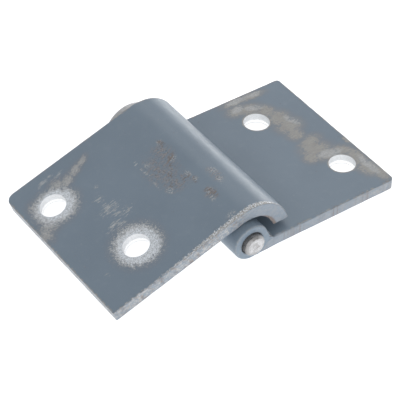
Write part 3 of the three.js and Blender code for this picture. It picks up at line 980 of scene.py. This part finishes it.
    # a punched hole's wall is burnished towards the bottom
    land = g.mul(bore, g.ramp(g.add(depth, g.mul(g.sub(n1, 0.5), 1.4)), 3.5, 4.7))
    bare, brown, scoring, tone = cut_face(g, v, side, g.ramp(u, -8.0, 14.0, 0.95, 0.16))
    worn = g.mx(face, g.mx(bare, bore))
    bright = g.mx(g.mul(core_cover, 0.95), g.mx(g.mul(ring_cover, 0.8), g.mul(trail_cover, 0.35)))
    bright = g.mx(g.mx(bright, g.mul(stroke_worn, 0.55)), g.mx(g.mul(front_worn, g.ramp(dots, 0.44, 0.58)), g.mul(chip_cover, 0.4)))
    bright = g.mx(g.mul(bright, top), g.mx(bore, g.mul(bare, 0.35)))
    pick = g.noise(flat, 0.13, 2.0, 0.5)
    spots = g.blobs(w, [(0.8, 22.6, 0.9, 2.6, 10), (-1.6, 11.4, 2.4, 1.0, 35), (-4.2, 7.6, 0.9, 1.6, 20), (-0.8, -9.6, 1.0, 1.7, -10), (-4.0, -5.4, 1.8, 0.7, 20), (0.2, -22.2, 1.1, 3.0, 15), (-11.5, -3.6, 0.8, 1.2, 0), (-8.0, 2.0, 0.7, 1.5, 40)])
    rust = g.mul(g.mul(g.ramp(spots, 0.7, 2.2, 1.0, 0.0), g.ramp(slant, 0.44, 0.56)), 0.60)
    rust = g.mx(rust, g.mul(g.mul(g.ramp(g.voronoi(v, 0.33), 0.04, 0.17, 1.0, 0.0), g.ramp(pick, 0.56, 0.66)), 0.3))
    front_rust = g.mul(g.ramp(g.sub(g.add(front, g.mul(g.sub(n1, 0.5), 5.0)), width), 0.0, 2.2, 1.0, 0.0), g.ramp(slant, 0.52, 0.62))
    rust = g.mx(g.mul(rust, top), g.mul(g.mul(front_rust, top), 0.30))
    rust = g.mx(rust, g.mul(g.mul(brown, 0.62), g.inv(bore)))
    lip_corner = g.mul(g.mul(side, g.ramp(g.add(depth, g.mul(g.sub(dots, 0.5), 1.6)), 6.6, 7.8)), g.ramp(u, 14.0, 22.0))
    rust = g.mx(rust, g.mul(lip_corner, 0.75))
    soot_and_shade = g.mul(g.mul(pits, 0.52), top)
    haze = g.mul(g.mx(g.mx(g.mul(g.ramp(rings, 0.95, 1.4, 1.0, 0.0), 0.24), g.mul(g.ramp(trails, 0.7, 1.5, 1.0, 0.0), 0.30)), g.mul(drag, 0.78)), top)
    return finish_paint(g, v, flat, worn, bright, soot_and_shade, rust, side, tone, scoring, haze, g.mul(ring_worn, top), (0.236, 0.222, 0.236), bore, land)


def round_material(name, turned, y0, y1, dirt, burnt=0.0):
    """primer on the tubes and the weld beads"""
    g = Graph(name)
    v = g.object_mm(turned)
    x, y, z = g.xyz(v)
    n1 = g.noise(v, 0.5, 5.0, 0.62)
    n2 = g.noise(v, 1.6, 3.0, 0.6)
    ends = g.mn(g.sub(y, y0), g.sub(y1, y))
    face = g.ramp(ends, 0.05, 0.35, 1.0, 0.0)
    radial = g.vec("LENGTH", g.join(x, z, 0.0))
    arris = g.ramp(g.add(ends, g.mul(g.sub(n1, 0.5), 3.6)), 0.35, 1.1, 1.0, 0.0)
    arris = g.mul(arris, g.inv(face))
    patch = g.mul(g.ramp(g.noise(v, 0.16, 3.0, 0.6), 0.60, 0.72), g.ramp(n1, 0.48, 0.62))
    fleck = g.mul(face, g.ramp(g.add(n1, g.mul(g.sub(n2, 0.5), 0.8)), 0.56, 0.72))
    worn = g.mx(g.mul(arris, 0.35), g.mx(g.mul(fleck, 0.35), g.mul(patch, 0.5)))
    bore = g.ramp(radial, PIN_R + 0.2, PIN_R + 1.1, 1.0, 0.0)
    # painted shade with some grime: the bore and its mouth round the pin are darkened
    soot_and_shade = g.mul(bore, 0.55)
    soot_and_shade = g.mx(soot_and_shade, g.mul(g.ramp(n2, 0.45, 0.70), dirt))
    rust = g.mul(g.ramp(g.noise(v, 0.7, 4.0, 0.65), 0.62, 0.76), 0.15 + burnt)
    tone = (g.mul(g.ramp(n2, 0.4, 0.7), 0.35), (0.140, 0.172, 0.205) if burnt else (0.21, 0.255, 0.30))
    rings = g.noise(g.place(v, scale=(0.2, 3.0, 0.2)), 1.2, 3.0, 0.6)
    relief = g.mul(rings, 0.35) if not burnt else g.mul(g.noise(v, 1.2, 4.0, 0.7), 1.2)
    return finish_paint(g, v, v, worn, g.mul(face, 0.2), soot_and_shade, rust, face, tone, relief)


def pin_material():
    g = Graph("hinge_pin_steel")
    v = g.object_mm(False)
    x, y, z = g.xyz(v)
    radial = g.vec("LENGTH", g.join(x, z, 0.0))
    n1 = g.noise(v, 0.45, 5.0, 0.62)
    n2 = g.noise(v, 1.5, 4.0, 0.62)
    n3 = g.noise(v, 4.0, 2.0, 0.6)
    turned = g.noise(g.join(g.mul(radial, 2.6), g.mul(y, 2.6), g.mul(n1, 0.6)), 1.0, 3.0, 0.6)
    col = g.mix(g.ramp(turned, 0.34, 0.66), (0.47, 0.475, 0.49), (0.67, 0.675, 0.69))
    col = g.mix(g.mul(g.ramp(n1, 0.46, 0.66), 0.55), col, (0.30, 0.30, 0.30))
    col = g.mix(g.mul(g.ramp(n2, 0.55, 0.74), 0.6), col, (0.20, 0.195, 0.19))
    col = g.mix(g.mul(g.ramp(n3, 0.60, 0.78), 0.25), col, (0.68, 0.68, 0.67))
    stain = g.mul(g.mul(g.ramp(g.noise(v, 0.25, 3.0, 0.6), 0.56, 0.70), 0.35), g.ramp(y, 50.0, 56.0, 1.0, 0.15))
    col = g.mix(stain, col, (0.185, 0.165, 0.155))
    # painted shade with some grime: the shank is darkened where it runs into the knuckles
    inner = g.mul(g.ramp(g.add(y, g.mul(n1, 0.8)), -52.9, -52.2), g.ramp(y, 55.6, 56.7, 1.0, 0.0))
    col = g.mix(g.mul(inner, g.ramp(n2, 0.30, 0.62, 0.90, 0.50)), col, (0.060, 0.054, 0.050))
    arris = g.ramp(radial, PIN_R - 0.9, PIN_R - 0.35)
    arris = g.mul(arris, g.ramp(y, -53.2, -52.6, 1.0, 0.0))
    col = g.mix(g.mul(arris, 0.45), col, (0.50, 0.50, 0.50))
    # painted shade: the chamfer at the pin's end is darkened towards -x and upward
    chamfer = g.mul(g.ramp(g.add(radial, g.mul(g.sub(n2, 0.5), 0.8)), PIN_R - 1.7, PIN_R - 1.1), g.ramp(y, -52.9, -52.5, 1.0, 0.0))
    shade = g.ramp(g.add(g.mul(x, -0.85), g.mul(z, 0.5)), -3.5, 3.0)
    col = g.mix(g.mul(chamfer, g.mul(shade, 0.45)), col, (0.10, 0.095, 0.092))
    g.put(g.bsdf.inputs["Base Color"], col)
    g.put(g.bsdf.inputs["Metallic"], g.add(0.45, g.mul(g.ramp(n1, 0.4, 0.6), 0.2)))
    g.put(g.bsdf.inputs["Roughness"], g.add(0.36, g.mul(n2, 0.30)))
    relief = g.add(g.mul(turned, 0.45), g.add(g.mul(n2, 0.25), g.mul(n3, 0.12)))
    g.put(g.bsdf.inputs["Normal"], g.bump(relief, 0.00012, 1.0))
    return g.mat


def give(obj, mat):
    obj.data.materials.clear()
    obj.data.materials.append(mat)


give(frame_leaf, frame_leaf_material())
give(door_leaf, door_leaf_material())
give(frame_knuckle, round_material("frame_knuckle_primer", False, -FRAME_Y, SPLIT - 0.3, 0.15))
give(door_knuckle, round_material("door_knuckle_primer", False, SPLIT + 0.3, DOOR_Y1 - 0.1, 0.35))
give(frame_fillet, round_material("frame_fillet_primer", False, -FRAME_Y, SPLIT - 0.3, 0.25, 0.05))
give(frame_groove, round_material("frame_groove_primer", False, -FRAME_Y, SPLIT - 0.3, 0.35, 0.15))
give(door_flat, round_material("door_flat_primer", True, SPLIT, DOOR_Y1, 0.35, 0.15))
give(door_lip, round_material("door_lip_primer", True, SPLIT, DOOR_Y1, 0.35, 0.15))
give(pin, pin_material())


# ------------------------------------------------------------------ floor, lights and camera
def studio_white(name):
    """a pale matt sweep lit from behind like a light table, so it shows almost no shadow"""
    g = Graph(name)
    v = g.nt.nodes.new("ShaderNodeTexCoord").outputs["Object"]
    n = g.noise(v, 14.0, 3.0, 0.5)
    g.put(g.bsdf.inputs["Base Color"], g.mix(g.mul(n, 0.04), (0.50, 0.50, 0.50), (0.46, 0.46, 0.46)))
    g.bsdf.inputs["Roughness"].default_value = 0.9
    g.bsdf.inputs["Emission Color"].default_value = (1.0, 1.0, 1.0, 1.0)
    # brightest at floor level, easing off up the wall
    height = g.xyz(v)[2]
    g.put(g.bsdf.inputs["Emission Strength"], g.ramp(height, 0.03, 0.35, 0.93, 0.42))
    return g.mat


def backdrop(z):
    """a floor that curves up into a wall behind the part"""
    half, front, back, rise, radius = 4.0, -4.0, 2.6, 2.2, 0.5
    prof = [(front, z)]
    for k in range(17):
        a = math.pi / 2 * k / 16
        prof.append((back - radius + radius * math.sin(a), z + radius - radius * math.cos(a)))
    prof.append((back, z + rise))
    verts = [(sx * half, y, h) for y, h in prof for sx in (-1, 1)]
    faces = [(2 * k, 2 * k + 1, 2 * k + 3, 2 * k + 2) for k in range(len(prof) - 1)]
    mesh = bpy.data.meshes.new("studio_floor")
    mesh.from_pydata(verts, [], faces)
    for p in mesh.polygons:
        p.use_smooth = True
    obj = bpy.data.objects.new("studio_floor", mesh)
    bpy.context.scene.collection.objects.link(obj)
    return obj


FLOOR_Z = (AXIS[2] - HEAD_R) / 1000.0
floor = backdrop(FLOOR_Z)
give(floor, studio_white("studio_floor_white"))
floor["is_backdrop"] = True


def area(name, at, target, size, power, colour=(1, 1, 1)):
    data = bpy.data.lights.new(name, "AREA")
    data.shape = "RECTANGLE"
    data.size, data.size_y = size
    data.energy = power
    data.color = colour
    obj = bpy.data.objects.new(name, data)
    obj.location = at
    obj.rotation_euler = (Vector(target) - Vector(at)).to_track_quat("-Z", "Y").to_euler()
    bpy.context.scene.collection.objects.link(obj)
    return obj


area("key_overhead", (0.55, 0.35, 1.10), (0, 0, 0), (1.3, 1.0), 4.1)
area("front_low", (-0.25, -1.25, 0.32), (0, 0, 0.01), (1.5, 0.6), 8.5)
area("left_side", (-1.2, 0.1, 0.5), (0, 0, 0.01), (0.9, 0.8), 1.8)
area("rear_high", (0.1, 1.1, 0.8), (0, 0, 0), (1.2, 0.6), 1.2)
area("rear_right_strip", (1.0, 0.78, 0.022), (0, 0, 0.02), (0.7, 0.05), 0.85)
area("right_low", (1.25, 0.55, 0.36), (0, 0, 0.01), (0.7, 0.6), 4.6)

world = bpy.data.worlds.new("studio_world")
world.use_nodes = True
world.node_tree.nodes["Background"].inputs["Color"].default_value = (1.0, 1.0, 1.0, 1.0)
world.node_tree.nodes["Background"].inputs["Strength"].default_value = 0.30
bpy.context.scene.world = world
bpy.context.scene.view_settings.view_transform = "Standard"

AZ, EL, ROLL = -0.620137929, 0.727341183, 0.0102722674
back = Vector((math.sin(AZ) * math.cos(EL), -math.cos(AZ) * math.cos(EL), math.sin(EL)))
right = Vector((math.cos(AZ), math.sin(AZ), 0.0))
upward = back.cross(right)
rr = right * math.cos(ROLL) + upward * math.sin(ROLL)
uu = upward * math.cos(ROLL) - right * math.sin(ROLL)
cam_data = bpy.data.cameras.new("photo_camera")
cam_data.lens = 178.72
cam_data.sensor_width = 36.0
cam_data.clip_start = 0.05
cam_data.clip_end = 30.0
cam = bpy.data.objects.new("photo_camera", cam_data)
at = Vector((-0.489122, -0.625987, 0.683177)) + uu * 0.0003
cam.matrix_world = Matrix((
    (rr.x, uu.x, back.x, at.x), (rr.y, uu.y, back.y, at.y), (rr.z, uu.z, back.z, at.z), (0, 0, 0, 1)))
bpy.context.scene.collection.objects.link(cam)
bpy.context.scene.camera = cam


def numbers(b):
    try:
        return [float(v) for v in b]
    except TypeError:
        return [[float(v) for v in row] for row in b]


{"cad": numbers(CAD_BOUNDS), "visual": numbers(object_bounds())}
